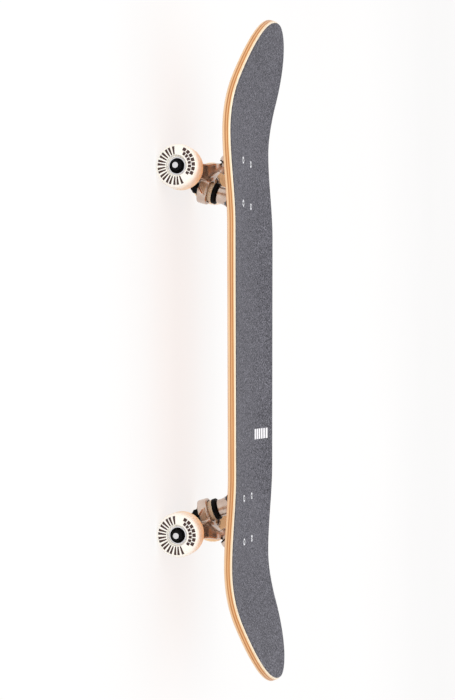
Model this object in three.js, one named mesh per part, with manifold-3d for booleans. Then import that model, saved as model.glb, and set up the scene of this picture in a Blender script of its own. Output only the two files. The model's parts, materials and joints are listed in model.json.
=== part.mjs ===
// A street skateboard, in millimetres: a seven-ply deck with kicked ends and a shallow concave, grip
// tape, two trucks, four wheels on eight bearings, and the screws that hold them.
// +X runs from nose to tail, +Z is up, and the rider who faces the nose has -Y on the left.
// The origin is on the ground, under the middle of the board.
import * as THREE from "three";
import { mergeVertices } from "three/addons/utils/BufferGeometryUtils.js";
import Module from "manifold-3d";

const wasm = await Module();
wasm.setup();

// ---------------------------------------------------------------- driving dimensions
const GAP = 0.3; // between pieces that rest on each other
const AXLE_CLEARANCE = 0.25; // round the axle, and round the mounting bolts in their nuts
const FAR = 60; // past the edge of any piece of a truck, for cutting right through it

const WHEEL_RADIUS = 27;
const WHEEL_WIDTH = 32;
const WHEEL_CENTRE_Y = 81.1;

const DECK = {
  halfWidth: 101.6, // half way along
  taper: 0.01, // what the half width loses for each millimetre towards the tail
  thickness: 10.5,
  endStart: 290, // where the sides turn into the round ends
  noseLength: 121.5,
  tailLength: 118.9,
  kickStart: 262,
  kickRadius: 190,
  kickAngle: THREE.MathUtils.degToRad(20.3),
  concaveDepth: 10.4,
  concaveDepthAtKick: 4.6,
  concaveFullTo: 150,
  concaveFlatHalfWidth: 25,
  concavePower: 1.7,
  edgeRounding: 2.2,
};
const GRIP = { thickness: 0.8, inset: 1.6, clearance: 0.4 };

const AXLE_SPACING = 446.6;
const AXLE = { radius: 4, halfLength: 101.6 };
const DECK_OVER_AXLE = 54.3;
const DECK_BOTTOM = WHEEL_RADIUS + DECK_OVER_AXLE; // along the middle of the board
const DECK_TOP = DECK_BOTTOM + DECK.thickness;

const BOLT = {
  along: 53.975,
  across: 41.275,
  innermost: -39.15, // from the axle, towards the middle of the board
  radius: 2.4,
  headRadius: 4.5,
  headDepth: 2.4,
  end: 41, // above the axle
};
const LOCKNUT = { acrossFlats: 9.5, height: 5 };

const BASEPLATE = {
  inner: -48,
  outer: 24.5,
  halfWidth: 27,
  thickness: 5.7,
  cornerRadius: 7,
  top: DECK_OVER_AXLE - GAP,
  housingBlock: { inner: 8, low: 43 },
  rib: { inner: -16, outer: 10, halfWidth: 3.5, low: 44 },
};

// The kingpin leans, and everything on it is measured along it, downwards, from the boardside washer.
const KINGPIN = {
  origin: [-23.4, 25],
  lean: THREE.MathUtils.degToRad(17.1),
  radius: 4.76,
  headTop: -26.5,
  headBottom: -20,
  end: 33.6,
  headAcrossFlats: 14,
  headRoom: 8.6, // radius of the hole in the baseplate for the head
};
const KINGPIN_NUT = { acrossFlats: 14.3, top: 24.3, bottom: 31 };
const BOARDSIDE_WASHER = { radius: 13.6, inner: 12.7, top: -2.7, bottom: 2.75, thickness: 1.4 };
const ROADSIDE_WASHER = { radius: 10.5, inner: 9.8, top: 20.6, bottom: 23.9, thickness: 1.4 };
const BOARDSIDE_BUSHING = { radius: 12.4, top: -1, bottom: 11.2 };
const ROADSIDE_BUSHING = { radius: 10.8, endRadius: 9.4, top: 15.8, bottom: 22.2 };

// The hanger's ring goes round the kingpin, and its nose turns in the pivot cup.
const RING = {
  radius: 17,
  top: 8,
  bottom: 21,
  seatTop: 11.5,
  seatBottom: 15.5,
  seatRadius: 13.2,
  holeRadius: 6.5,
};
const RING_CENTRE = 13; // along the kingpin
const PIVOT = {
  angle: THREE.MathUtils.degToRad(37.9),
  reach: 41.3, // from the ring's centre
  noseRadius: 6.2,
  noseShoulder: 5, // where the nose's ball begins
  mouth: 0.9, // where the housing begins
  cupInner: 6.45,
  cupOuter: 8.6,
  cupDepth: 12.6,
  housingRadius: 10.2,
};
const HANGER = {
  halfLength: 68.2,
  endRadius: 9.2,
  kneeRadius: 10,
  kneeAt: 40, // from the middle, along the axle
  middleRadius: 12,
  noseStart: -9, // along the pivot, from where the cup's mouth is
  pocketFloor: 14.5, // from the middle plane, clear of both seats
  nutWall: 9.2, // from the kingpin's axis, beside its nut
  washerWall: 12.2,
  washerRoom: 24.8, // how far down the kingpin the washer's room reaches
  roomHalfWidth: 18, // wider than the ring
};

const BEARING = { radius: 11, bore: 4.15, width: 7, spacing: 10 };
const AXLE_NUT = { acrossFlats: 12.7, start: 94.1, end: 100.3 };
const SPEED_WASHER = { radius: 5.8, start: 93.2, end: 93.9 };

// ---------------------------------------------------------------- materials
const finish = (color, roughness, metalness) =>
  new THREE.MeshStandardMaterial({ color, roughness, metalness });
const MAPLE = finish(0xe5b27a, 0.5, 0);
const GRIT = finish(0x6a696f, 0.95, 0);
const CAST_ALUMINIUM = finish(0xc9c2bd, 0.35, 1);
const BRIGHT_STEEL = finish(0xd0d0d2, 0.3, 1);
const BLACK_STEEL = finish(0x141416, 0.4, 0.6);
const WHEEL_URETHANE = finish(0xf3eee8, 0.4, 0);
const BUSHING_URETHANE = finish(0xcdb9a0, 0.55, 0);
const PIVOT_PLASTIC = finish(0x161617, 0.6, 0);

// ---------------------------------------------------------------- shape helpers
const point = (x, y) => new THREE.Vector2(x, y);

// A turned piece about +Z, from a closed outline of (radius, height) pairs that runs anticlockwise.
function turned(outline, segments) {
  const points = outline.map(([radius, height]) => point(radius, height));
  const geometry = new THREE.LatheGeometry(points, segments);
  return geometry.rotateX(Math.PI / 2);
}

// From a shape about +Z to the same shape about +Y or -Y.
const alongY = (geometry, side) => geometry.rotateX((-side * Math.PI) / 2);

// A turned piece about +Y, with a flat facing down.
function turnedAlongY(outline, segments) {
  return turned(outline, segments).rotateX(-Math.PI / 2).rotateY(Math.PI / segments);
}

const rod = (radius, bottom, top, segments) =>
  turned([[0, bottom], [radius, bottom], [radius, top], [0, top]], segments);

const ring = (inner, outer, bottom, top, segments) =>
  turned([[inner, bottom], [outer, bottom], [outer, top], [inner, top], [inner, bottom]], segments);

function prism(outline, depth) {
  const shape = new THREE.Shape(outline.map(([x, y]) => point(x, y)));
  return new THREE.ExtrudeGeometry(shape, { depth, bevelEnabled: false, curveSegments: 6 });
}

// A box from its lowest and its highest corner.
function block(low, high) {
  const size = high.map((value, k) => value - low[k]);
  const centre = high.map((value, k) => (value + low[k]) / 2);
  return new THREE.BoxGeometry(...size).translate(...centre);
}

// An outline in the plane across Y, given as (x, z), pulled out to both sides.
const sideways = (outline, halfWidth) =>
  prism(outline, 2 * halfWidth).rotateX(Math.PI / 2).translate(0, halfWidth, 0);

function solid(geometry) {
  const bare = geometry.clone();
  bare.deleteAttribute("normal");
  bare.deleteAttribute("uv");
  const merged = mergeVertices(bare, 1e-4);
  return new wasm.Manifold(
    new wasm.Mesh({
      numProp: 3,
      vertProperties: new Float32Array(merged.attributes.position.array),
      triVerts: new Uint32Array(merged.index.array),
    }),
  );
}

const joined = (...solids) => solids.reduce((a, b) => a.add(b));
const common = (...solids) => solids.reduce((a, b) => a.intersect(b));
const cut = (body, ...tools) => tools.reduce((a, b) => a.subtract(b), body);

function geometryOf(body) {
  const { vertProperties, triVerts, numProp } = body.getMesh();
  const geometry = new THREE.BufferGeometry();
  const count = vertProperties.length / numProp;
  const position = new Float32Array(3 * count);
  for (let i = 0; i < count; i += 1) {
    position.set(vertProperties.subarray(i * numProp, i * numProp + 3), 3 * i);
  }
  geometry.setAttribute("position", new THREE.BufferAttribute(position, 3));
  geometry.setIndex(new THREE.BufferAttribute(new Uint32Array(triVerts), 1));
  geometry.computeVertexNormals();
  return geometry;
}

function named(name, geometry, material) {
  const mesh = new THREE.Mesh(geometry, material);
  mesh.name = name;
  return mesh;
}

// ---------------------------------------------------------------- deck and grip tape
const clamp01 = (value) => Math.min(1, Math.max(0, value));
const smooth = (t) => t * t * (3 - 2 * t);

// The slope of the board along X at a distance from its middle.
function slopeAt(x) {
  const along = Math.abs(x) - DECK.kickStart;
  const sine = Math.max(0, along / DECK.kickRadius);
  return Math.sign(x) * Math.min(Math.asin(Math.min(1, sine)), DECK.kickAngle);
}

// How far the kick has lifted the board's middle line at x.
function kickRise(x) {
  const along = Math.max(0, Math.abs(x) - DECK.kickStart);
  const arcLength = DECK.kickRadius * Math.sin(DECK.kickAngle);
  const onArc = Math.min(along, arcLength);
  const arc = DECK.kickRadius - Math.sqrt(DECK.kickRadius ** 2 - onArc ** 2);
  return arc + (along - onArc) * Math.tan(DECK.kickAngle);
}

// How far the rails stand above the middle line: the sides of the concave.
function concaveRise(x, y) {
  const along = Math.abs(x) - DECK.concaveFullTo;
  const fade = smooth(clamp01(along / (DECK.kickStart - DECK.concaveFullTo)));
  const depth = THREE.MathUtils.lerp(DECK.concaveDepth, DECK.concaveDepthAtKick, fade);
  const flat = DECK.concaveFlatHalfWidth;
  const side = Math.max(0, (Math.abs(y) - flat) / (DECK.halfWidth - flat));
  return depth * side ** DECK.concavePower;
}

// A point at a depth under the board's top, square to the kick.
function deckPoint(x, y, depth) {
  const slope = slopeAt(x);
  const top = DECK_TOP + kickRise(x) + concaveRise(x, y);
  return [x + depth * Math.sin(slope), y, top - depth * Math.cos(slope)];
}

// The board's outline, drawn in by the inset, as [x, half width] pairs from the middle to the nose
// (end -1) or the tail (end 1): sparse over the straight middle, closer where the concave fades and
// the kick bends, and elliptical at the end.
function halfOutline(inset, end) {
  const stretches = [
    [0, DECK.concaveFullTo, 1],
    [DECK.concaveFullTo, DECK.kickStart, 8],
    [DECK.kickStart, DECK.endStart, 2],
  ];
  const endSteps = 9;
  const lastAngle = THREE.MathUtils.degToRad(86);
  const endLength = end < 0 ? DECK.noseLength : DECK.tailLength;
  const halfWidthAt = (x) => DECK.halfWidth - DECK.taper * end * x - inset;
  const outline = [];
  for (const [from, to, steps] of stretches) {
    for (let i = 0; i < steps; i += 1) {
      const x = from + ((to - from) * i) / steps;
      outline.push([end * x, halfWidthAt(x)]);
    }
  }
  for (let i = 0; i <= endSteps; i += 1) {
    const angle = (lastAngle * i) / endSteps;
    const x = DECK.endStart + (endLength - inset) * Math.sin(angle);
    outline.push([end * x, halfWidthAt(DECK.endStart) * Math.cos(angle)]);
  }
  return outline;
}

const fullOutline = (inset) =>
  [...halfOutline(inset, -1).slice(1).reverse(), ...halfOutline(inset, 1)];

// A sheet that follows the board's surface between two depths, with its sides rounded by the given
// amount.
function boardSheet(topDepth, bottomDepth, inset, rounding) {
  const across = 8;
  const layers = rounding > 0 ? 3 : 1;
  const depths = rounding > 0
    ? [bottomDepth, bottomDepth - rounding, topDepth + rounding, topDepth]
    : [bottomDepth, topDepth];
  const middle = fullOutline(inset);
  const face = fullOutline(inset + rounding / 2);
  const geometry = new THREE.BoxGeometry(1, 1, 1, middle.length - 1, across, layers);
  const position = geometry.getAttribute("position");
  for (let i = 0; i < position.count; i += 1) {
    const station = Math.round((position.getX(i) + 0.5) * (middle.length - 1));
    const layer = Math.round((position.getZ(i) + 0.5) * layers);
    const [x, width] = layer === 0 || layer === layers ? face[station] : middle[station];
    position.setXYZ(i, ...deckPoint(x, position.getY(i) * 2 * width, depths[layer]));
  }
  return geometry;
}

// Where the four bolts of one truck stand, as (x, y) from its axle, outwards.
const BOLT_PLACES = [0, 1].flatMap((row) =>
  [-1, 1].map((side) => [BOLT.innermost + row * BOLT.along, (side * BOLT.across) / 2]),
);

// The hole that a bolt leaves through deck and grip tape, with room around it.
function boltHole(x, y) {
  const top = DECK_TOP + GRIP.thickness + 2;
  const headTop = DECK_TOP + GRIP.thickness;
  const room = 0.35;
  const outline = [
    [0, DECK_BOTTOM - 5],
    [BOLT.radius + room, DECK_BOTTOM - 5],
    [BOLT.radius + room, headTop - BOLT.headDepth - room],
    [BOLT.headRadius + room, headTop - room],
    [BOLT.headRadius + room, top],
    [0, top],
  ];
  return solid(turned(outline, 8).translate(x, y, 0));
}

function withBoltHoles(geometry) {
  const holes = [-1, 1].flatMap((end) =>
    BOLT_PLACES.map(([x, y]) => boltHole(end * (AXLE_SPACING / 2 + x), y)),
  );
  return geometryOf(cut(solid(geometry), ...holes));
}

const deck = named(
  "deck",
  withBoltHoles(boardSheet(GRIP.clearance, DECK.thickness, 0, DECK.edgeRounding)),
  MAPLE,
);
const gripTape = named(
  "grip_tape",
  withBoltHoles(boardSheet(-GRIP.thickness, 0, GRIP.inset, 0)),
  GRIT,
);

// ---------------------------------------------------------------- truck
// Each truck is drawn about its axle's centre, with +X pointing away from the middle of the board.
// From the kingpin's own frame, whose +Z runs up along it, to the truck's.
const onKingpin = (geometry) =>
  geometry.rotateY(-KINGPIN.lean).translate(KINGPIN.origin[0], 0, KINGPIN.origin[1]);

// Kingpin places are measured downwards, so heights there are negative.
const kingpinRod = (radius, top, bottom, segments) =>
  onKingpin(rod(radius, -bottom, -top, segments));
const kingpinBlock = (low, high) => onKingpin(block(low, high));

const ringCentre = new THREE.Vector2(
  KINGPIN.origin[0] + RING_CENTRE * Math.sin(KINGPIN.lean),
  KINGPIN.origin[1] - RING_CENTRE * Math.cos(KINGPIN.lean),
);
const pivotPoint = new THREE.Vector2(
  ringCentre.x + PIVOT.reach * Math.cos(PIVOT.angle),
  ringCentre.y + PIVOT.reach * Math.sin(PIVOT.angle),
);

// From the pivot's own frame, whose +Z runs up and outwards along the steering axis, to the truck's.
const onPivot = (geometry) =>
  geometry.rotateY(Math.PI / 2 - PIVOT.angle).translate(pivotPoint.x, 0, pivotPoint.y);

// A rod whose far end is half a ball.
function roundNosedRod(radius, bottom, shoulder, segments) {
  const outline = [[0, bottom], [radius, bottom]];
  const steps = 3;
  for (let i = 0; i < steps; i += 1) {
    const angle = (i * Math.PI) / 2 / steps;
    outline.push([radius * Math.cos(angle), shoulder + radius * Math.sin(angle)]);
  }
  outline.push([0, shoulder + radius]);
  return turned(outline, segments);
}

function hexagon(acrossFlats, bottom, top) {
  const radius = acrossFlats / Math.sqrt(3);
  return rod(radius, bottom, top, 6);
}

function hexNut(acrossFlats, boreRadius, bottom, top) {
  const bore = rod(boreRadius, bottom - 1, top + 1, 12);
  return cut(solid(hexagon(acrossFlats, bottom, top)), solid(bore));
}

// Seen from the side: the web from the ring down to the axle, and the arm up to the pivot.
const HANGER_SIDE = [
  [-24, 8], [-14, 0], [-6, -10], [0, -12], [8, -9.5], [12, -2], [12, 10], [13, 19], [15.2, 26],
  [14.2, 32.5], [8.5, 36], [1.4, 26.5], [-6, 19], [-20, 15],
];
// Seen from the front: wide at the axle, narrow at the pivot.
const HANGER_FRONT_HALF = [
  [0, -12], [24, -10.5], [50, -9], [50, 9], [32, 11.5], [17, 18.5], [9.5, 27], [7, 37], [0, 37],
];
// Seen from above: as wide as the ring, then flared out along the axle.
const HANGER_PLAN_HALF = [
  [-24, 0], [-24, 15.5], [-14, 17.5], [-9, 24], [-6, 36], [-4, 50], [16, 50], [16, 0],
];

// The pocket in each flank of the ring, seen from the side, between the wall of the bushing's seat
// and the ring's lower edge.
const HANGER_POCKET = [[-27, 13], [-25, 11], [-13, 5], [-7, 9], [-9.5, 18.5]];
// Half of the baseplate's boss above the boardside washer, as (radius, height) along the kingpin.
const KINGPIN_BOSS = [[0, 3], [10.9, 3], [11.3, 4], [11.6, 14], [15, 24], [15, 45], [0, 45]];

const mirroredX = (half) => [...half, ...half.slice(1, -1).reverse().map(([x, y]) => [-x, y])];
const mirroredY = (half) =>
  [...half, ...half.slice(1, -1).reverse().map(([x, y]) => [x, -y])].reverse();

function hangerArms() {
  const end = HANGER.halfLength;
  const { endRadius, kneeRadius, kneeAt, middleRadius } = HANGER;
  const outline = [
    [0, -end], [endRadius, -end], [kneeRadius, -kneeAt], [middleRadius, 0], [kneeRadius, kneeAt],
    [endRadius, end], [0, end],
  ];
  return alongY(turned(outline, 16), 1);
}

// Outlines pulled out far enough to cross the whole hanger: one seen along the board, as (y, z), and
// one seen from above, as (x, y).
const lengthways = (outline) =>
  prism(outline, 2 * FAR).rotateX(Math.PI / 2).rotateZ(Math.PI / 2).translate(-FAR, 0, 0);
const upright = (outline) => prism(outline, 2 * FAR).translate(0, 0, -FAR);

function hanger() {
  const body = joined(
    common(
      solid(sideways(HANGER_SIDE, FAR)),
      solid(lengthways(mirroredX(HANGER_FRONT_HALF))),
      solid(upright(mirroredY(HANGER_PLAN_HALF))),
    ),
    solid(kingpinRod(RING.radius, RING.top, RING.bottom, 24)),
  );
  const floor = HANGER.pocketFloor;
  const pockets = cut(
    solid(sideways(HANGER_POCKET, FAR)),
    solid(block([-FAR, -floor, -FAR], [FAR, floor, FAR])),
  );
  const cast = joined(
    cut(body, pockets),
    solid(hangerArms()),
    solid(onPivot(roundNosedRod(PIVOT.noseRadius, HANGER.noseStart, PIVOT.noseShoulder, 12))),
  );
  const { washerWall, nutWall, washerRoom, roomHalfWidth: room } = HANGER;
  return geometryOf(
    cut(
      cast,
      solid(alongY(rod(AXLE.radius + 0.2, -AXLE.halfLength, AXLE.halfLength, 16), 1)),
      solid(kingpinRod(RING.holeRadius, -FAR, FAR, 12)),
      solid(kingpinRod(RING.seatRadius, -FAR, RING.seatTop, 16)),
      solid(kingpinRod(RING.seatRadius, RING.seatBottom, RING.bottom + 0.1, 16)),
      solid(kingpinBlock([-FAR, -room, -washerRoom], [washerWall, room, -RING.bottom])),
      solid(kingpinBlock([-FAR, -room, -FAR], [nutWall, room, -washerRoom + 0.1])),
    ),
  );
}

function roundedRectangle(x0, x1, halfWidth, radius) {
  const shape = new THREE.Shape();
  shape.moveTo(x0 + radius, -halfWidth);
  shape.absarc(x1 - radius, -halfWidth + radius, radius, -Math.PI / 2, 0);
  shape.absarc(x1 - radius, halfWidth - radius, radius, 0, Math.PI / 2);
  shape.absarc(x0 + radius, halfWidth - radius, radius, Math.PI / 2, Math.PI);
  shape.absarc(x0 + radius, -halfWidth + radius, radius, Math.PI, 1.5 * Math.PI);
  return shape;
}

function baseplate() {
  const top = BASEPLATE.top;
  const under = top - BASEPLATE.thickness;
  const { inner, outer, halfWidth, thickness, cornerRadius, housingBlock, rib } = BASEPLATE;
  const plan = roundedRectangle(inner, outer, halfWidth, cornerRadius);
  const plate = new THREE.ExtrudeGeometry(plan, {
    depth: thickness, bevelEnabled: false, curveSegments: 3,
  }).translate(0, 0, under);
  const envelope = block([inner, -halfWidth, 0], [outer, halfWidth, top]);
  const mass = joined(
    solid(plate),
    solid(onKingpin(turned(KINGPIN_BOSS, 16))),
    solid(onPivot(rod(PIVOT.housingRadius, PIVOT.mouth, 20, 16))),
    solid(block(
      [housingBlock.inner, -PIVOT.housingRadius, housingBlock.low],
      [outer - 1, PIVOT.housingRadius, under + 1],
    )),
    solid(block([rib.inner, -rib.halfWidth, rib.low], [rib.outer, rib.halfWidth, under + 1])),
  );
  const bolts = BOLT_PLACES.map(([x, y]) =>
    solid(rod(BOLT.radius + GAP, 0, FAR, 8).translate(x, y, 0)));
  return geometryOf(
    cut(
      common(mass, solid(envelope)),
      ...bolts,
      solid(kingpinRod(KINGPIN.radius + GAP, -FAR, FAR, 12)),
      solid(kingpinRod(KINGPIN.headRoom, -FAR, KINGPIN.headBottom + GAP, 12)),
      solid(onPivot(rod(PIVOT.cupOuter + 0.2, -5, PIVOT.cupDepth + GAP, 16))),
      solid(onPivot(rod(PIVOT.housingRadius + 3, -12, PIVOT.mouth, 16))),
    ),
  );
}

// A cup with a lip that lies against the housing's mouth.
function pivotCup() {
  const { cupInner: inner, cupOuter: outer, cupDepth: depth, noseShoulder: shoulder } = PIVOT;
  const lip = { radius: outer + 0.8, low: -0.4, high: PIVOT.mouth - GAP };
  const outline = [[0, depth], [0, shoulder + inner]];
  const steps = 3;
  for (let i = steps - 1; i >= 0; i -= 1) {
    const angle = (i * Math.PI) / 2 / steps;
    outline.push([inner * Math.cos(angle), shoulder + inner * Math.sin(angle)]);
  }
  outline.push([inner, lip.low], [lip.radius, lip.low], [lip.radius, lip.high]);
  outline.push([outer, lip.high], [outer, depth - 1], [outer - 1, depth], [0, depth]);
  return onPivot(turned(outline, 12));
}

function kingpin() {
  const shaft = solid(kingpinRod(KINGPIN.radius, KINGPIN.headBottom - 1, KINGPIN.end, 12));
  const { headAcrossFlats, headBottom, headTop } = KINGPIN;
  const head = solid(onKingpin(hexagon(headAcrossFlats, -headBottom, -headTop)));
  return geometryOf(joined(shaft, head));
}

// A washer with a rim that cups its bushing. The rim points down on the boardside and up on the
// roadside.
function cupWasher(size, rimDown) {
  const bore = KINGPIN.radius + GAP;
  const low = -size.bottom;
  const high = -size.top;
  const outline = rimDown
    ? [[bore, high - size.thickness], [size.inner, high - size.thickness], [size.inner, low],
      [size.radius, low], [size.radius, high - 1], [size.radius - 1, high], [bore, high]]
    : [[bore, low], [size.radius - 1, low], [size.radius, low + 1], [size.radius, high],
      [size.inner, high], [size.inner, low + size.thickness], [bore, low + size.thickness]];
  return onKingpin(turned([...outline, outline[0]], 16));
}

function boardsideBushing() {
  const { radius, top, bottom } = BOARDSIDE_BUSHING;
  const bore = KINGPIN.radius + GAP;
  const outline = [
    [bore, -bottom], [radius, -bottom], [radius, -top - 1],
    [radius - 0.8, -top], [bore, -top], [bore, -bottom],
  ];
  return onKingpin(turned(outline, 16));
}

function roadsideBushing() {
  const { radius, endRadius, top, bottom } = ROADSIDE_BUSHING;
  const bore = KINGPIN.radius + GAP;
  const outline = [
    [bore, -bottom], [endRadius, -bottom], [radius, -top], [bore, -top], [bore, -bottom],
  ];
  return onKingpin(turned(outline, 16));
}

function mountingBolt(x, y) {
  const headTop = DECK_TOP + GRIP.thickness - WHEEL_RADIUS;
  const outline = [
    [0, BOLT.end],
    [BOLT.radius, BOLT.end],
    [BOLT.radius, headTop - BOLT.headDepth],
    [BOLT.headRadius, headTop - 0.3],
    [BOLT.headRadius, headTop],
    [0, headTop],
  ];
  return turned(outline, 8).translate(x, y, 0);
}

function locknut(x, y) {
  const top = BASEPLATE.top - BASEPLATE.thickness - GAP;
  const bore = BOLT.radius + AXLE_CLEARANCE;
  const nut = hexNut(LOCKNUT.acrossFlats, bore, top - LOCKNUT.height, top);
  return geometryOf(nut).translate(x, y, 0);
}

// ---------------------------------------------------------------- wheel and bearings, about the axle
function wheelGeometry() {
  const half = WHEEL_WIDTH / 2;
  const coreRadius = 9.5; // of the hole between the two bearings
  const seat = BEARING.radius + 0.15;
  const treadHalf = 9.5;
  const faceRadius = 20.5;
  const bearingStop = BEARING.spacing / 2 - GAP;
  const lipRadius = 12.4;
  const lipDepth = 3.9;
  const outerHalf = [
    [coreRadius, bearingStop], [seat, bearingStop], [seat, half - lipDepth],
    [lipRadius, half - lipDepth], [lipRadius + 0.6, half], [faceRadius, half],
  ];
  const edgeSteps = 2;
  for (let i = 1; i <= edgeSteps; i += 1) {
    const angle = (i * Math.PI) / 2 / edgeSteps;
    outerHalf.push([
      faceRadius + (WHEEL_RADIUS - faceRadius) * Math.sin(angle),
      treadHalf + (half - treadHalf) * Math.cos(angle),
    ]);
  }
  const innerHalf = outerHalf.slice().reverse().map(([radius, y]) => [radius, -y]);
  const segments = 24;
  const flat = 1 / Math.cos(Math.PI / segments); // puts the tread's flats at the wheel's true radius
  const outline = [...outerHalf, ...innerHalf, outerHalf[0]].reverse()
    .map(([radius, y]) => [radius === WHEEL_RADIUS ? radius * flat : radius, y]);
  return turnedAlongY(outline, segments);
}

function bearingGeometry() {
  const half = BEARING.width / 2;
  return alongY(ring(BEARING.bore, BEARING.radius, -half, half, 16), 1);
}

// The wheel and everything beside it on one end of the axle. Side is -1 or 1, along Y.
function wheelSet(prefix, side) {
  const bearingOffset = (BEARING.spacing + BEARING.width) / 2;
  const wheel = named(`${prefix}_wheel`, wheelGeometry(), WHEEL_URETHANE);
  wheel.position.y = side * WHEEL_CENTRE_Y;
  const bearings = [["inner", -1], ["outer", 1]].map(([place, away]) => {
    const bearing = named(`${prefix}_${place}_bearing`, bearingGeometry(), BRIGHT_STEEL);
    bearing.position.y = side * (WHEEL_CENTRE_Y + away * bearingOffset);
    return bearing;
  });
  const bore = AXLE.radius + AXLE_CLEARANCE;
  const washer = ring(bore, SPEED_WASHER.radius, SPEED_WASHER.start, SPEED_WASHER.end, 12);
  const nut = geometryOf(hexNut(AXLE_NUT.acrossFlats, bore, AXLE_NUT.start, AXLE_NUT.end));
  return [
    wheel,
    ...bearings,
    named(`${prefix}_speed_washer`, alongY(washer, side), BRIGHT_STEEL),
    named(`${prefix}_axle_nut`, alongY(nut, side), BLACK_STEEL),
  ];
}

// ---------------------------------------------------------------- assembly
function truck(end, turn) {
  const group = new THREE.Group();
  const axleShape = alongY(rod(AXLE.radius, -AXLE.halfLength, AXLE.halfLength, 16), 1);
  const { acrossFlats, bottom, top } = KINGPIN_NUT;
  const nutShape = hexNut(acrossFlats, KINGPIN.radius + GAP, -bottom, -top);
  group.add(
    named(`${end}_baseplate`, baseplate(), CAST_ALUMINIUM),
    named(`${end}_pivot_cup`, pivotCup(), PIVOT_PLASTIC),
    named(`${end}_hanger`, hanger(), CAST_ALUMINIUM),
    named(`${end}_axle`, axleShape, BRIGHT_STEEL),
    named(`${end}_kingpin`, kingpin(), BLACK_STEEL),
    named(`${end}_kingpin_nut`, onKingpin(geometryOf(nutShape)), BLACK_STEEL),
    named(`${end}_boardside_bushing`, boardsideBushing(), BUSHING_URETHANE),
    named(`${end}_roadside_bushing`, roadsideBushing(), BUSHING_URETHANE),
    named(`${end}_boardside_washer`, cupWasher(BOARDSIDE_WASHER, true), BLACK_STEEL),
    named(`${end}_roadside_washer`, cupWasher(ROADSIDE_WASHER, false), BLACK_STEEL),
  );
  BOLT_PLACES.forEach(([x, y], i) => {
    group.add(named(`${end}_bolt_${i + 1}`, mountingBolt(x, y), BRIGHT_STEEL));
    group.add(named(`${end}_locknut_${i + 1}`, locknut(x, y), BLACK_STEEL));
  });
  for (const side of [-1, 1]) {
    const worldSide = turn ? -side : side;
    group.add(...wheelSet(`${end}_${worldSide < 0 ? "left" : "right"}`, side));
  }
  group.position.set(turn ? -AXLE_SPACING / 2 : AXLE_SPACING / 2, 0, WHEEL_RADIUS);
  group.rotation.z = turn ? Math.PI : 0;
  return group;
}

const skateboard = new THREE.Group();
skateboard.add(deck, gripTape, truck("front", true), truck("rear", false));

export default skateboard;
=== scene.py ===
"""The looks of a street skateboard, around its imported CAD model.

Shapes are worked out in millimetres, in the frame of the piece that they belong to. Meshes are in metres.
"""
import json
import math

import bpy
import numpy as np
from mathutils import Matrix, Vector


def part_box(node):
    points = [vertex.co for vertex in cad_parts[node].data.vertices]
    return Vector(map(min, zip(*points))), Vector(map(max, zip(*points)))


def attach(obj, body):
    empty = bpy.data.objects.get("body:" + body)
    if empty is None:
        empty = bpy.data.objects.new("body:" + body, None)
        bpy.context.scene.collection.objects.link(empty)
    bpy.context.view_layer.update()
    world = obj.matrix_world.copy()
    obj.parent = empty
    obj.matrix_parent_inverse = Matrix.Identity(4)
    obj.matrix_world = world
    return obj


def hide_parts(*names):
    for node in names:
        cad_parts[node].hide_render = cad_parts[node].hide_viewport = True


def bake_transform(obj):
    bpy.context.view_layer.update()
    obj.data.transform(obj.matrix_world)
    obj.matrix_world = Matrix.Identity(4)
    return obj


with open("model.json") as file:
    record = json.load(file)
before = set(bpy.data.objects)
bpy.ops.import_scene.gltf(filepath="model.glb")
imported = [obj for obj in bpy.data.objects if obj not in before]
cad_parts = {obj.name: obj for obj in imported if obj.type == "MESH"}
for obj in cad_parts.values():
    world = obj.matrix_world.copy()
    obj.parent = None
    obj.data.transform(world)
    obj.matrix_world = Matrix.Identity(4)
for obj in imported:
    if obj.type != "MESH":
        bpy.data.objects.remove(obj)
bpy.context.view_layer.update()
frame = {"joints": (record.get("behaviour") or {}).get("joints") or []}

MM = 0.001
JOINTS = {joint["name"]: joint for joint in frame["joints"]}
ENDS = ("front", "rear")
SIDES = ("left", "right")


# ---------------------------------------------------------------- camera, light and floor
def make_camera():
    """Low in front of the board's left side, turned so that the nose points up in the picture."""
    elevation, yaw, roll = math.radians(14.10), math.radians(-0.815), math.radians(0.342)
    distance, lens, sensor = 1.809, 73.54, 36.0
    target = Vector((-0.0012, 0.0, 0.0662))
    forward = Vector((
        math.sin(yaw) * math.cos(elevation),
        math.cos(yaw) * math.cos(elevation),
        -math.sin(elevation),
    ))
    tail = forward.cross(Vector((0, 0, 1))).normalized()
    above = tail.cross(forward)
    across = math.cos(roll) * above + math.sin(roll) * tail
    upward = -math.cos(roll) * tail + math.sin(roll) * above
    data = bpy.data.cameras.new("camera")
    data.lens, data.sensor_width = lens, sensor
    camera = bpy.data.objects.new("camera", data)
    bpy.context.scene.collection.objects.link(camera)
    place = Matrix((across, upward, -forward)).transposed().to_4x4()
    camera.matrix_world = Matrix.Translation(target - forward * distance) @ place
    bpy.context.scene.camera = camera


def area_light(name, place, aim, size, power, color):
    data = bpy.data.lights.new(name, "AREA")
    data.shape, data.size, data.size_y = "RECTANGLE", size[0], size[1]
    data.energy, data.color = power, color
    light = bpy.data.objects.new(name, data)
    bpy.context.scene.collection.objects.link(light)
    light.location = place
    light.rotation_euler = (Vector(aim) - Vector(place)).to_track_quat("-Z", "Y").to_euler()


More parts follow.
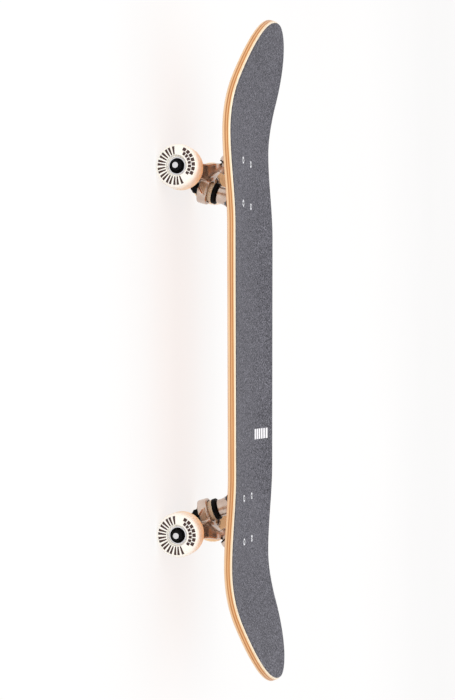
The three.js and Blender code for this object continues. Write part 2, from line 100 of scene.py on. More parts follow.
def make_light():
    world = bpy.data.worlds.new("studio")
    bpy.context.scene.world = world
    world.use_nodes = True
    background = world.node_tree.nodes["Background"]
    background.inputs["Color"].default_value = (0.98, 0.975, 0.98, 1)
    background.inputs["Strength"].default_value = 0.96
    area_light("key", (-0.4, -1.7, 1.6), (0, 0, 0.05), (1.8, 1.2), 17, (1.0, 0.985, 0.97))
    area_light("back", (0.2, 1.7, 1.5), (0, 0, 0.05), (2.4, 1.0), 9, (0.97, 0.98, 1.0))
    bpy.context.scene.view_settings.view_transform = "Standard"


# ---------------------------------------------------------------- mesh helpers
def new_object(name, vertices_mm, faces, material, sharp=40.0):
    """An object from vertices in millimetres, shaded smooth except over edges sharper than the angle."""
    mesh = bpy.data.meshes.new(name)
    mesh.from_pydata((np.asarray(vertices_mm, float) * MM).tolist(), [], [list(f) for f in faces])
    mesh.validate()
    mesh.polygons.foreach_set("use_smooth", [True] * len(mesh.polygons))
    mesh.set_sharp_from_angle(angle=math.radians(sharp))
    mesh.materials.append(material)
    made = bpy.data.objects.new(name, mesh)
    bpy.context.scene.collection.objects.link(made)
    return made


def copy_of(source, name):
    made = bpy.data.objects.new(name, source.data)
    bpy.context.scene.collection.objects.link(made)
    return made


def settle(piece, body, replaced=(), place=None):
    """Puts a piece in its place and on its body, and hides the CAD nodes that it stands for."""
    if place is not None:
        piece.matrix_world = place
    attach(piece, body)
    if replaced:
        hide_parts(*replaced)
    return piece


def carve(piece, *cutters):
    """Cuts the cutters out of the piece, and throws them away."""
    for cutter in cutters:
        cut = piece.modifiers.new("cut", "BOOLEAN")
        cut.operation, cut.solver, cut.object = "DIFFERENCE", "EXACT", cutter
    bpy.context.view_layer.update()
    graph = bpy.context.evaluated_depsgraph_get()
    carved = bpy.data.meshes.new_from_object(piece.evaluated_get(graph))
    piece.modifiers.clear()
    piece.data = carved
    for cutter in cutters:
        bpy.data.objects.remove(cutter)
    return piece


def rounded(outline, closed=True, steps=4):
    """Rounds the corners of (x, y, radius) points. A point with no radius stays as it is."""
    points = [(Vector(p[:2]), p[2] if len(p) > 2 else 0.0) for p in outline]
    made = []
    for i, (corner, radius) in enumerate(points):
        at_end = not closed and i in (0, len(points) - 1)
        if not radius or at_end:
            made.append(tuple(corner))
            continue
        before = points[i - 1][0] - corner
        after = points[(i + 1) % len(points)][0] - corner
        half = before.angle(after) / 2
        reach = min(radius / math.tan(half), 0.49 * before.length, 0.49 * after.length)
        start = corner + before.normalized() * reach
        stop = corner + after.normalized() * reach
        for k in range(steps + 1):
            t = k / steps
            made.append(tuple((1 - t) ** 2 * start + 2 * t * (1 - t) * corner + t ** 2 * stop))
    return made


def lathe(outline, segments=64):
    """Vertices and faces of a turned piece about +Z.

    The outline is a closed loop, or it starts and ends on the axis.
    """
    on_axis = abs(outline[0][0]) < 1e-6
    vertices, rings = [], []
    for radius, height in outline:
        if radius < 1e-6:
            rings.append([len(vertices)] * segments)
            vertices.append((0, 0, height))
            continue
        first = len(vertices)
        for k in range(segments):
            angle = 2 * math.pi * k / segments
            vertices.append((radius * math.cos(angle), radius * math.sin(angle), height))
        rings.append(list(range(first, first + segments)))
    faces = []
    spans = list(zip(rings, rings[1:]))
    if not on_axis:
        spans.append((rings[-1], rings[0]))
    for low, high in spans:
        for k in range(segments):
            n = (k + 1) % segments
            corners = list(dict.fromkeys((low[k], low[n], high[n], high[k])))
            if len(corners) > 2:
                faces.append(corners)
    return vertices, faces


def threads(radius, start, stop, pitch, depth):
    """The stretch of an outline that runs along a thread, from start to stop."""
    made = []
    count = max(1, round(abs(stop - start) / pitch))
    step = (stop - start) / count
    for k in range(count):
        made.append((radius, start + (k + 0.15) * step))
        made.append((radius - depth, start + (k + 0.65) * step))
    return made


def hex_body(across_flats, bore, low, high, chamfer=0.5):
    """Vertices and faces of a hexagonal nut or head about +Z, with its corners turned off at both ends."""
    per_side = 10
    count = 6 * per_side
    flat = across_flats / 2
    inner_circle = flat * 0.96
    rings = [[] for _ in range(6)]
    for k in range(count):
        angle = 2 * math.pi * k / count
        within = (angle + math.pi / 6) % (math.pi / 3) - math.pi / 6
        reach = flat / math.cos(within)
        drop = (reach - inner_circle) * chamfer
        for ring, (radius, height) in zip(rings, (
            (bore, low), (inner_circle, low), (reach, low + drop),
            (reach, high - drop), (inner_circle, high), (bore, high),
        )):
            ring.append((radius * math.cos(angle), radius * math.sin(angle), height))
    vertices = [v for ring in rings for v in ring]
    faces = []
    for r in range(6):
        after = (r + 1) % 6
        for k in range(count):
            n = (k + 1) % count
            faces.append((r * count + k, r * count + n, after * count + n, after * count + k))
    return vertices, faces


def merged(*parts):
    vertices, faces = [], []
    for part_vertices, part_faces in parts:
        shift = len(vertices)
        vertices.extend(part_vertices)
        faces.extend([tuple(i + shift for i in f) for f in part_faces])
    return vertices, faces


# ---------------------------------------------------------------- fields: cast shapes with soft fillets
def soft_min(a, b, blend):
    mix = np.clip(0.5 + 0.5 * (b - a) / blend, 0, 1)
    return b + (a - b) * mix - blend * mix * (1 - mix)


def soft_max(a, b, blend):
    return -soft_min(-a, -b, blend)


def field_polygon(u, v, outline):
    """Signed distance in a plane to a closed outline, negative inside."""
    best = np.full(u.shape, 1e9)
    inside = np.zeros(u.shape, bool)
    for (x0, y0), (x1, y1) in zip(outline, outline[1:] + outline[:1]):
        ex, ey = x1 - x0, y1 - y0
        wx, wy = u - x0, v - y0
        t = np.clip((wx * ex + wy * ey) / (ex * ex + ey * ey), 0, 1)
        best = np.minimum(best, (wx - ex * t) ** 2 + (wy - ey * t) ** 2)
        if y0 != y1:
            crossing = ((y0 > v) != (y1 > v)) & (u < (x1 - x0) * (v - y0) / (y1 - y0) + x0)
            inside ^= crossing
    return np.where(inside, -1, 1) * np.sqrt(best)


def field_rod(p, radius, low, high, edge=0.6):
    """A rod about the frame's own +Z with rounded rims."""
    across = np.hypot(p[:, 0], p[:, 1]) - radius + edge
    along = np.abs(p[:, 2] - (low + high) / 2) - (high - low) / 2 + edge
    outside = np.hypot(np.maximum(across, 0), np.maximum(along, 0))
    return outside + np.minimum(np.maximum(across, along), 0) - edge


def field_box(p, low, high, edge=1.0):
    centre = (np.array(low) + np.array(high)) / 2
    half = (np.array(high) - np.array(low)) / 2 - edge
    q = np.abs(p - centre) - half
    return np.linalg.norm(np.maximum(q, 0), axis=1) + np.minimum(q.max(1), 0) - edge


def mesh_of(field, low, high, cell):
    """Vertices and quads of the surface where the field is zero, with a vertex in each cell it crosses."""
    axes = [np.arange(a, b + cell, cell) for a, b in zip(low, high)]
    grid = np.stack(np.meshgrid(*axes, indexing="ij"), -1)
    shape = grid.shape[:3]
    value = field(grid.reshape(-1, 3)).reshape(shape)
    cells = tuple(n - 1 for n in shape)
    total = np.zeros(cells + (3,))
    crossings = np.zeros(cells)
    corner_index = [(i, j, k) for i in (0, 1) for j in (0, 1) for k in (0, 1)]

    def at(array, corner):
        return array[tuple(slice(c, c + n) for c, n in zip(corner, cells))]

    for a in corner_index:
        for d in range(3):
            if a[d]:
                continue
            b = tuple(1 if k == d else a[k] for k in range(3))
            va, vb = at(value, a), at(value, b)
            changed = (va < 0) != (vb < 0)
            t = np.where(changed, va / np.where(changed, va - vb, 1), 0)
            pa, pb = at(grid, a), at(grid, b)
            total += np.where(changed[..., None], pa + t[..., None] * (pb - pa), 0)
            crossings += changed
    used = crossings > 0
    number = np.full(cells, -1)
    number[used] = np.arange(used.sum())
    vertices = total[used] / crossings[used][:, None]
    faces = []
    for d in range(3):
        e, f = (d + 1) % 3, (d + 2) % 3
        first = [slice(None)] * 3
        second = [slice(None)] * 3
        first[d], second[d] = slice(0, -1), slice(1, None)
        start, stop = value[tuple(first)] < 0, value[tuple(second)] < 0
        where = np.argwhere(start != stop)
        keep = np.all([(where[:, k] > 0) & (where[:, k] < cells[k]) for k in (e, f)], axis=0)
        where = where[keep]
        outward = start[tuple(where.T)]
        around = []
        for se, sf in ((-1, -1), (0, -1), (0, 0), (-1, 0)):
            place = where.copy()
            place[:, e] += se
            place[:, f] += sf
            around.append(number[tuple(place.T)])
        quads = np.stack(around, 1)
        quads[~outward] = quads[~outward][:, ::-1]
        faces.append(quads)
    return vertices, np.concatenate(faces)


# ---------------------------------------------------------------- materials
class Shader:
    """One procedural material, with short calls for its nodes."""

    def __init__(self, name, **values):
        self.material = bpy.data.materials.new(name)
        self.material.use_nodes = True
        self.tree = self.material.node_tree
        self.surface = self.tree.nodes["Principled BSDF"]
        self.place = self.add("TexCoord").outputs["Object"]
        for key, value in values.items():
            self.feed(self.surface, key.replace("_", " ").title().replace("Ior", "IOR"), value)

    def feed(self, node, socket, value):
        if isinstance(value, bpy.types.NodeSocket):
            self.tree.links.new(value, node.inputs[socket])
        else:
            node.inputs[socket].default_value = value

    def add(self, kind, inputs=None, **settings):
        node = self.tree.nodes.new("ShaderNode" + kind)
        for key, value in settings.items():
            setattr(node, key, value)
        for socket, value in (inputs or {}).items():
            self.feed(node, socket, value)
        return node

    def stretched(self, scale, vector=None):
        mapping = {"Vector": vector or self.place, "Scale": scale}
        return self.add("Mapping", mapping).outputs["Vector"]

    def noise(self, scale, detail=4.0, roughness=0.55, vector=None):
        made = self.add("TexNoise", {
            "Vector": vector or self.place, "Scale": scale, "Detail": detail, "Roughness": roughness,
        })
        return made.outputs["Fac"]

    def math(self, operation, a, b=0.0, clamp=False):
        made = self.add("Math", {0: a, 1: b}, operation=operation, use_clamp=clamp)
        return made.outputs["Value"]

    def span(self, value, low, high, to_low=0.0, to_high=1.0):
        made = self.add("MapRange", {
            "Value": value, "From Min": low, "From Max": high, "To Min": to_low, "To Max": to_high,
        })
        return made.outputs["Result"]

    def mix(self, share, a, b, blend="MIX"):
        made = self.add("Mix", data_type="RGBA", blend_type=blend)
        self.feed(made, "Factor", share)
        for socket, value in ((made.inputs[6], a), (made.inputs[7], b)):
            if isinstance(value, bpy.types.NodeSocket):
                self.tree.links.new(value, socket)
            else:
                socket.default_value = value
        return made.outputs[2]

    def bands(self, value, colors, interpolation="CONSTANT"):
        """The colors in equal bands over 0 to 1."""
        ramp = self.add("ValToRGB", {"Fac": value})
        ramp.color_ramp.interpolation = interpolation
        elements = ramp.color_ramp.elements
        while len(elements) < len(colors):
            elements.new(0.5)
        for k, color in enumerate(colors):
            elements[k].position = k / len(colors)
            elements[k].color = (*color, 1)
        return ramp.outputs["Color"]

    def bump(self, height, strength, distance):
        made = self.add("Bump", {"Height": height, "Strength": strength, "Distance": distance})
        self.feed(self.surface, "Normal", made.outputs["Normal"])

    def color(self, value):
        self.feed(self.surface, "Base Color", value)

    def roughness(self, value):
        self.feed(self.surface, "Roughness", value)


def srgb(*values):
    """A color given as 0 to 255, as the linear numbers that Blender takes."""
    scaled = [v / 255 for v in values]
    return tuple(v / 12.92 if v <= 0.04045 else ((v + 0.055) / 1.055) ** 2.4 for v in scaled)


def rgba(*values):
    return (*srgb(*values), 1)


def maple_material():
    """Seven maple veneers, the lowest stained. The mesh says which one a point is in, from the top."""
    shader = Shader("maple_plies", coat_weight=0.2, coat_roughness=0.25)
    ply = shader.add("Attribute", attribute_name="ply").outputs["Fac"]
    # The crossbands, third and fifth, are the darkest.
    base = shader.bands(shader.math("DIVIDE", ply, 7.0), [
        srgb(254, 244, 222), srgb(243, 219, 178), srgb(194, 124, 58), srgb(228, 177, 122),
        srgb(186, 126, 74), srgb(238, 199, 152), srgb(246, 218, 182),
    ])
    # Grain follows the veneers, so that it keeps its run where the board bends up.
    spot = shader.add("SeparateXYZ", {0: shader.place}).outputs
    height = shader.math("MULTIPLY", ply, 0.0015)
    unbent = shader.add("CombineXYZ", {0: spot["X"], 1: spot["Y"], 2: height}).outputs["Vector"]
    grain = shader.noise(1.0, 6.0, 0.62, shader.stretched((9.0, 420.0, 900.0), unbent))
    pores = shader.noise(1.0, 3.0, 0.5, shader.stretched((60.0, 1900.0, 2600.0), unbent))
    patches = shader.noise(7.0, 2.0)
    toned = shader.mix(shader.span(grain, 0.42, 0.72), base, rgba(214, 160, 104), "MULTIPLY")
    toned = shader.mix(0.45, base, toned)
    toned = shader.mix(shader.span(pores, 0.58, 0.75, 0, 0.3), toned, rgba(140, 90, 48))
    toned = shader.mix(shader.span(patches, 0.4, 0.7, 0, 0.1), toned, rgba(190, 134, 80))
    into = shader.math("FRACT", ply)
    edge = shader.math("MINIMUM", into, shader.math("SUBTRACT", 1.0, into))
    toned = shader.mix(shader.span(edge, 0.02, 0.08, 0.45, 0.0), toned, rgba(140, 88, 46))
    facing = shader.add("SeparateXYZ", {0: shader.add("NewGeometry").outputs["True Normal"]})
    under = shader.span(facing.outputs["Z"], -0.75, -0.88)
    stain = shader.mix(shader.span(grain, 0.3, 0.7), rgba(232, 150, 66), rgba(206, 122, 48))
    shader.color(shader.mix(under, toned, stain))
    shader.roughness(shader.span(grain, 0.3, 0.7, 0.38, 0.52))
    shader.bump(grain, 0.22, 0.0002)
    return shader.material


def grit_material():
    """Silicon carbide grit in black resin. Its grey is painted sheen for the glint of its grains, and
    light specks on some grains are painted glints.
    """
    shader = Shader("grip_grit", specular_ior_level=0.3)
    clumps = shader.noise(430.0, 4.0, 0.68)
    grains = shader.add("TexVoronoi", {"Vector": shader.place, "Scale": 1100.0})
    # Painted glints: light specks on some of the grains.
    bright = shader.math("GREATER_THAN", grains.outputs["Color"], 0.74)
    # Painted sheen: the black resin is painted dark grey to grey, varying in clumps.
    base = shader.mix(shader.span(clumps, 0.36, 0.64), rgba(28, 27, 33), rgba(98, 97, 106))
    worn = shader.noise(9.0, 2.0)
    base = shader.mix(shader.span(worn, 0.35, 0.7, 0.0, 0.14), base, rgba(112, 111, 119))
    shader.color(shader.mix(shader.math("MULTIPLY", bright, 0.42), base, rgba(176, 175, 187)))
    shader.roughness(shader.span(clumps, 0.3, 0.7, 0.85, 0.6))
    shader.bump(shader.math("ADD", grains.outputs["Distance"], clumps), 0.75, 0.0006)
    return shader.material


def urethane_material(name, light, deep, roughness, glow, painted_bounce_tone=None):
    """Cast urethane: cloudy, slightly see-through, and on a wheel painted yellower towards its inner face,
    as painted bounce light from the deck's stained underside.
    """
    shader = Shader(
        name, subsurface_weight=glow, subsurface_radius=(1.0, 0.85, 0.6), subsurface_scale=0.004,
    )
    cloud = shader.noise(38.0, 3.0)
    fine = shader.noise(900.0, 2.0)
    toned = shader.mix(shader.span(cloud, 0.3, 0.7), light, deep)
    if painted_bounce_tone:
        # Painted bounce light: the inner face is tinted orange-yellow, as if lit from the deck's
        # underside.
        height = shader.add("SeparateXYZ", {0: shader.place}).outputs["Z"]
        toned = shader.mix(shader.span(height, 0.0135, -0.008), toned, painted_bounce_tone)
    shader.color(toned)
    shader.roughness(shader.span(cloud, 0.3, 0.7, roughness - 0.05, roughness + 0.08))
    shader.bump(fine, 0.12, 0.0001)
    return shader.material


def metal_material(name, light, dark, roughness, spread, bump, stretch=(160.0, 160.0, 160.0)):
    """A metal whose tone and gloss drift along the given stretch."""
    shader = Shader(name, metallic=1.0)
    drift = shader.noise(1.0, 4.0, 0.5, shader.stretched(stretch))
    broad = shader.noise(45.0, 2.0)
    shader.color(shader.mix(shader.span(broad, 0.3, 0.7), light, dark))
    shader.roughness(shader.span(drift, 0.3, 0.7, roughness, roughness + spread))
    shader.bump(drift, bump, 0.0001)
    return shader.material


def cast_material():
    """Tumbled cast aluminium, bright on its swells. Its hollows are painted dark brown: painted shade,
    tinted as a painted reflection of the wooden deck.
    """
    shader = Shader("cast_aluminium", metallic=1.0)
    drift = shader.noise(1.0, 4.0, 0.5, shader.stretched((150.0, 150.0, 150.0)))
    broad = shader.noise(45.0, 2.0)
    light = shader.mix(shader.span(broad, 0.3, 0.7), rgba(218, 202, 190), rgba(190, 170, 156))
    # Painted shade: ambient occlusion darkens the hollows to a brown that is a painted reflection of the
    # deck.
    painted_shade_ao = shader.add("AmbientOcclusion", {"Distance": 0.012}, samples=8).outputs["AO"]
    shader.color(shader.mix(shader.span(painted_shade_ao, 0.25, 0.8), rgba(84, 70, 58), light))
    shader.roughness(shader.span(drift, 0.3, 0.7, 0.24, 0.34))
    shader.bump(drift, 0.05, 0.0001)
    return shader.material


def black_material(name, tone, roughness, scale, bump):
    shader = Shader(name, specular_ior_level=0.1, ior=1.3)
    mottle = shader.noise(scale, 3.0)
    low, high = [rgba(*(t + shift for t in tone)) for shift in (-5, 6)]
    shader.color(shader.mix(shader.span(mottle, 0.3, 0.7), low, high))
    shader.roughness(shader.span(mottle, 0.3, 0.7, roughness - 0.06, roughness + 0.1))
    shader.bump(mottle, bump, 0.0001)
    return shader.material


def ink_material(name, tone):
    shader = Shader(name, specular_ior_level=0.4)
    mottle = shader.noise(1400.0, 3.0)
    worn = rgba(*(min(255, t + 40) for t in tone))
    shader.color(shader.mix(shader.span(mottle, 0.35, 0.7, 0, 0.3), rgba(*tone), worn))
    shader.roughness(shader.span(mottle, 0.3, 0.7, 0.45, 0.65))
    return shader.material


def floor_material():
    shader = Shader(
        "studio_floor", roughness=0.9, specular_ior_level=0.0,
        emission_color=rgba(255, 254, 254), emission_strength=0.775,
    )
    shader.color(shader.mix(shader.noise(1.5, 2.0), rgba(119, 119, 118), rgba(125, 125, 124)))
    return shader.material


MAPLE = maple_material()
GRIT = grit_material()
# The last colour is painted bounce light on the wheels' inner faces.
URETHANE = urethane_material(
    "wheel_urethane", rgba(251, 248, 240), rgba(246, 240, 229), 0.38, 0.1, rgba(255, 220, 172),
)
BUSHING = urethane_material("bushing_urethane", rgba(220, 200, 172), rgba(206, 184, 154), 0.45, 0.15)
CAST = cast_material()
STEEL = metal_material("bright_steel", rgba(228, 228, 230), rgba(212, 212, 216), 0.18, 0.1, 0.03)
GROUND = metal_material("ground_steel", rgba(232, 232, 234), rgba(216, 216, 220), 0.16, 0.08, 0.03)
# Black oxide on the nuts and kingpin parts, and painted shade in the screws' cross recesses.
BLACK = black_material("black_oxide_and_recess_shade", (16, 16, 18), 0.36, 700.0, 0.1)
RUBBER = black_material("black_rubber", (10, 10, 11), 0.5, 500.0, 0.15)
INK = ink_material("wheel_ink", (54, 30, 24))
MARK = ink_material("grip_ink", (232, 230, 234))


# ---------------------------------------------------------------- the board's surface
HALF_WIDTH, TAPER = 101.6, 0.01
THICKNESS = 10.5
PLIES = 7
END_START, NOSE_LENGTH, TAIL_LENGTH = 290.0, 121.5, 118.9
KICK_START, KICK_RADIUS, KICK_ANGLE = 262.0, 190.0, math.radians(20.3)
CONCAVE_DEPTH, CONCAVE_DEPTH_AT_KICK, CONCAVE_FULL_TO = 10.4, 4.6, 150.0
CONCAVE_FLAT, CONCAVE_POWER = 25.0, 1.7
GRIP_THICKNESS, GRIP_INSET = 0.78, 1.6
GLUE_LINE = 0.02  # between the grip tape and the wood
EDGE_RADIUS = 2.8
SHY = 0.3  # how far the modelled outline stays inside the CAD board's, whose edge is faceted
DECK_OVER_AXLE = 54.3  # from the axle to the deck's underside, along the middle
DECK_TOP = JOINTS["rear_left_wheel_spin"]["pos_m"][2] / MM + DECK_OVER_AXLE + THICKNESS


def slope_at(x):
    along = np.maximum(0, np.abs(x) - KICK_START) / KICK_RADIUS
    return np.sign(x) * np.minimum(np.arcsin(np.minimum(1, along)), KICK_ANGLE)


def kick_rise(x):
    along = np.maximum(0, np.abs(x) - KICK_START)
    on_arc = np.minimum(along, KICK_RADIUS * math.sin(KICK_ANGLE))
    arc = KICK_RADIUS - np.sqrt(KICK_RADIUS ** 2 - on_arc ** 2)
    return arc + (along - on_arc) * math.tan(KICK_ANGLE)


def concave_rise(x, y):
    t = np.clip((np.abs(x) - CONCAVE_FULL_TO) / (KICK_START - CONCAVE_FULL_TO), 0, 1)
    depth = CONCAVE_DEPTH + (CONCAVE_DEPTH_AT_KICK - CONCAVE_DEPTH) * t * t * (3 - 2 * t)
    side = np.maximum(np.abs(y) - CONCAVE_FLAT, 0) / (HALF_WIDTH - CONCAVE_FLAT)
    return depth * side ** CONCAVE_POWER


def board_point(x, y, depth):
    """Points at a depth under the board's wooden top, square to the kick."""
    x, y = np.broadcast_arrays(x, y)
    slope = slope_at(x)
    top = DECK_TOP + kick_rise(x) + concave_rise(x, y)
    return np.stack([x + depth * np.sin(slope), y, top - depth * np.cos(slope)], -1)


def half_outline(inset, end):
    """x and half width of the outline from the middle to the nose (end -1) or the tail (end 1)."""
    stretches = np.concatenate([
        np.linspace(0, CONCAVE_FULL_TO, 12, endpoint=False),
        np.linspace(CONCAVE_FULL_TO, KICK_START, 28, endpoint=False),
        np.linspace(KICK_START, END_START, 8, endpoint=False),
    ])
    angle = np.linspace(0, math.radians(89.3), 56)
    length = (NOSE_LENGTH if end < 0 else TAIL_LENGTH) - inset
    half_width = HALF_WIDTH - inset - TAPER * end * np.append(stretches, END_START)
    x = np.concatenate([stretches, END_START + length * np.sin(angle)])
    return end * x, np.concatenate([half_width[:-1], half_width[-1] * np.cos(angle)])


def outline(inset):
    """x and half width of the board's outline, drawn in by the inset, from nose to tail."""
    (nose_x, nose_width), (tail_x, tail_width) = (half_outline(inset, end) for end in (-1, 1))
    return np.concatenate([nose_x[:0:-1], tail_x]), np.concatenate([nose_width[:0:-1], tail_width])


def sheet(top_depth, bottom_depth, inset, edge, wall_steps, columns=48):
    """Vertices, faces and depths of a layer of the board between two depths, with rounded edges."""
    depths = np.linspace(top_depth, bottom_depth, wall_steps + 1)
    from_face = np.minimum(depths - top_depth, bottom_depth - depths)
    pulled = edge - np.sqrt(np.maximum(0, edge ** 2 - np.maximum(0, edge - from_face) ** 2))
    across = np.linspace(-1, 1, columns + 1)

    def row(layer, spread):
        x, width = outline(inset + pulled[layer])
        return board_point(x[:, None], width[:, None] * spread[None, :], depths[layer])

    walls = range(1, wall_steps)
    parts = [row(0, across)]
    parts += [row(k, np.array([1.0])) for k in walls]
    parts += [row(wall_steps, across[::-1])]
    parts += [row(k, np.array([-1.0])) for k in reversed(walls)]
    loop_depths = np.concatenate([
        np.full(columns + 1, top_depth), depths[1:-1],
        np.full(columns + 1, bottom_depth), depths[1:-1][::-1],
    ])
    points = np.concatenate(parts, axis=1)
    stations, around = points.shape[:2]
    index = np.arange(stations * around).reshape(stations, around)
    turned = np.roll(index, -1, axis=1)
    faces = np.stack([index[:-1], index[1:], turned[1:], turned[:-1]], -1).reshape(-1, 4).tolist()
    faces.append(index[0].tolist())
    faces.append(index[-1][::-1].tolist())
    return points.reshape(-1, 3), faces, np.tile(loop_depths, stations)


def set_ply(mesh, values):
    """How many veneers down each vertex is, kept inside the top one and the bottom one."""
    attribute = mesh.attributes.new("ply", "FLOAT", "POINT")
    attribute.data.foreach_set("value", np.clip(values, 0.25, PLIES - 0.25).astype(np.float32))


BOLT_RADIUS, BOLT_HEAD_RADIUS, BOLT_HEAD_DEPTH = 2.4, 4.5, 2.4


def bolt_places():
    """The middle of each bolt head, from the CAD bolts."""
    for end in ENDS:
        for number in range(1, 5):
            low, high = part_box(f"{end}_bolt_{number}")
            yield end, number, Vector(((low.x + high.x) / 2, (low.y + high.y) / 2, high.z))


def bolt_hole(place, room):
    """A cutter for one screw's countersunk hole, with its walls marked by veneer."""
    top = place.z / MM
    profile = [
        (0, top - 20), (BOLT_RADIUS + room, top - 20),
        (BOLT_RADIUS + room, top - BOLT_HEAD_DEPTH - room), (BOLT_HEAD_RADIUS + room, top - room),
        (BOLT_HEAD_RADIUS + room, top + 4), (0, top + 4),
    ]
    vertices, faces = lathe(profile, 32)
    shifted = np.array(vertices) + [place.x / MM, place.y / MM, 0]
    cutter = new_object("cutter", shifted, faces, MAPLE)
    set_ply(cutter.data, (DECK_TOP - shifted[:, 2]) / THICKNESS * PLIES)
    return cutter


def make_deck():
    steps_per_ply = 3
    vertices, faces, depths = sheet(GLUE_LINE, THICKNESS, SHY, EDGE_RADIUS, PLIES * steps_per_ply)
    deck = new_object("deck_plies", vertices, faces, MAPLE, 60)
    set_ply(deck.data, depths / THICKNESS * PLIES)
    carve(deck, *(bolt_hole(place, 0.25) for _, _, place in bolt_places()))
    settle(deck, "board", ["deck"])


def make_grip():
    vertices, faces, _ = sheet(-GRIP_THICKNESS, 0, GRIP_INSET, 0.25, 4)
    grip = new_object("grip_sheet", vertices, faces, GRIT, 60)
    carve(grip, *(bolt_hole(place, 0.2) for _, _, place in bolt_places()))
    settle(grip, "board", ["grip_tape"])


def make_grip_mark():
    """A plain mark of six bars on the right half, a quarter of the way from the middle to the tail."""
    bars, pitch, wide, long = 6, 8.4, 5.8, 13.4
    first = (100.0, 35.5)
    parts = []
    for k in range(bars):
        y0 = first[1] + k * pitch
        x = np.array([first[0], first[0], first[0] + long, first[0] + long])
        y = np.array([y0, y0 + wide, y0 + wide, y0])
        top = board_point(x, y, -GRIP_THICKNESS - 0.08)
        bottom = board_point(x, y, -GRIP_THICKNESS + 0.05)
        sides = [(i, (i + 1) % 4, (i + 1) % 4 + 4, i + 4) for i in range(4)]
        parts.append((np.concatenate([top, bottom]).tolist(), [(3, 2, 1, 0), (4, 5, 6, 7), *sides]))
    mark = new_object("grip_mark", *merged(*parts), MARK)
    settle(mark, "board")


# ---------------------------------------------------------------- wheels and bearings, about +Z outwards
WHEEL_RADIUS, WHEEL_HALF = 27.0, 16.0
FACE_RADIUS, TREAD_HALF = 20.5, 9.3
LIP_RADIUS, LIP_DEPTH = 12.4, 3.9
SEAT_RADIUS, CORE_RADIUS, CORE_HALF = 11.02, 9.6, 4.95
BEARING_OFFSET, BEARING_HALF = 8.5, 3.5
BEARING_END = BEARING_OFFSET + BEARING_HALF
SPEED_WASHER_ROOM, SPEED_WASHER_THICKNESS, SPEED_WASHER_GAP = 0.8, 0.75, 0.02


def face_height(radius):
    """Where a wheel's outer face is at a distance from its axle."""
    t = np.clip((np.asarray(radius, float) - FACE_RADIUS) / (WHEEL_RADIUS - FACE_RADIUS), 0, 1)
    return TREAD_HALF + (WHEEL_HALF - TREAD_HALF) * np.sqrt(1 - t ** 2)


def wheel_shape():
    """Urethane, with a bore, two bearing seats and a lip round each."""
    corner = [math.radians(90 * k / 14) for k in range(15)]
    edge = [(
        FACE_RADIUS + (WHEEL_RADIUS - FACE_RADIUS) * math.sin(a),
        TREAD_HALF + (WHEEL_HALF - TREAD_HALF) * math.cos(a),
    ) for a in corner]
    half = [
        (CORE_RADIUS, CORE_HALF, 0.3),
        (SEAT_RADIUS, CORE_HALF, 0.2),
        (SEAT_RADIUS, WHEEL_HALF - LIP_DEPTH, 0.3),
        (LIP_RADIUS, WHEEL_HALF - LIP_DEPTH, 0.3),
        (LIP_RADIUS + 0.4, WHEEL_HALF, 1.0),
    ]
    upper = [*half, *edge]
    lower = [(p[0], -p[1], *p[2:]) for p in reversed(upper)]
    tread = [(WHEEL_RADIUS, TREAD_HALF * t) for t in (0.66, 0.33, 0, -0.33, -0.66)]
    return lathe(rounded([*upper, *tread, *lower])[::-1], 128)


def strip(radii, angles, thickness=0.04):
    """A thin patch of ink on the wheel's face, from radii and the angles of its two sides at each."""
    rows = []
    for lift in (thickness, -thickness):
        for radius, (start, stop) in zip(radii, angles):
            for k in range(4):
                angle = start + (stop - start) * k / 3
                height = float(face_height(radius)) + lift
                rows.append((radius * math.cos(angle), radius * math.sin(angle), height))
    n, w = len(radii), 4
    faces = []
    for i in range(n - 1):
        for k in range(w - 1):
            a = i * w + k
            faces.append((a, a + w, a + w + 1, a + 1))
            b = n * w + a
            faces.append((b + 1, b + w + 1, b + w, b))
    rim = list(range(w))
    rim += [i * w + w - 1 for i in range(1, n)]
    rim += [(n - 1) * w + k for k in range(w - 2, -1, -1)]
    rim += [i * w for i in range(n - 2, 0, -1)]
    for a, b in zip(rim, rim[1:] + rim[:1]):
        faces.append((a, b, b + n * w, a + n * w))
    return rows, faces


def ink_shape():
    """Sixteen rays round one half of the face, and two plain courses of bricks round the other."""
    parts = []
    rays, ray_step, first_ray = 16, math.radians(12.6), math.radians(100)
    radii = np.linspace(13.5, 23.6, 9)
    for k in range(rays):
        middle = first_ray + k * ray_step
        lean = math.radians(2.4) * (1 if k % 2 else -1)
        spread = [0.75 + 0.85 * (r - radii[0]) / (radii[-1] - radii[0]) for r in radii]
        sides = []
        for r, half in zip(radii, spread):
            bent = middle + lean * (r - radii[0]) / (radii[-1] - radii[0]) * 0.4
            sides.append((bent - half / r, bent + half / r))
        parts.append(strip(radii, sides))
    bricks, brick_step, first_brick = 7, math.radians(14.6), math.radians(-34)
    for k in range(bricks):
        for inner, outer, stagger in ((15.0, 18.9, 0.0), (19.6, 23.6, 0.5)):
            middle = first_brick + (k + stagger) * brick_step
            course = np.linspace(inner, outer, 4)
            half = 0.39 * brick_step
            parts.append(strip(course, [(middle - half, middle + half)] * len(course)))
    return merged(*parts)


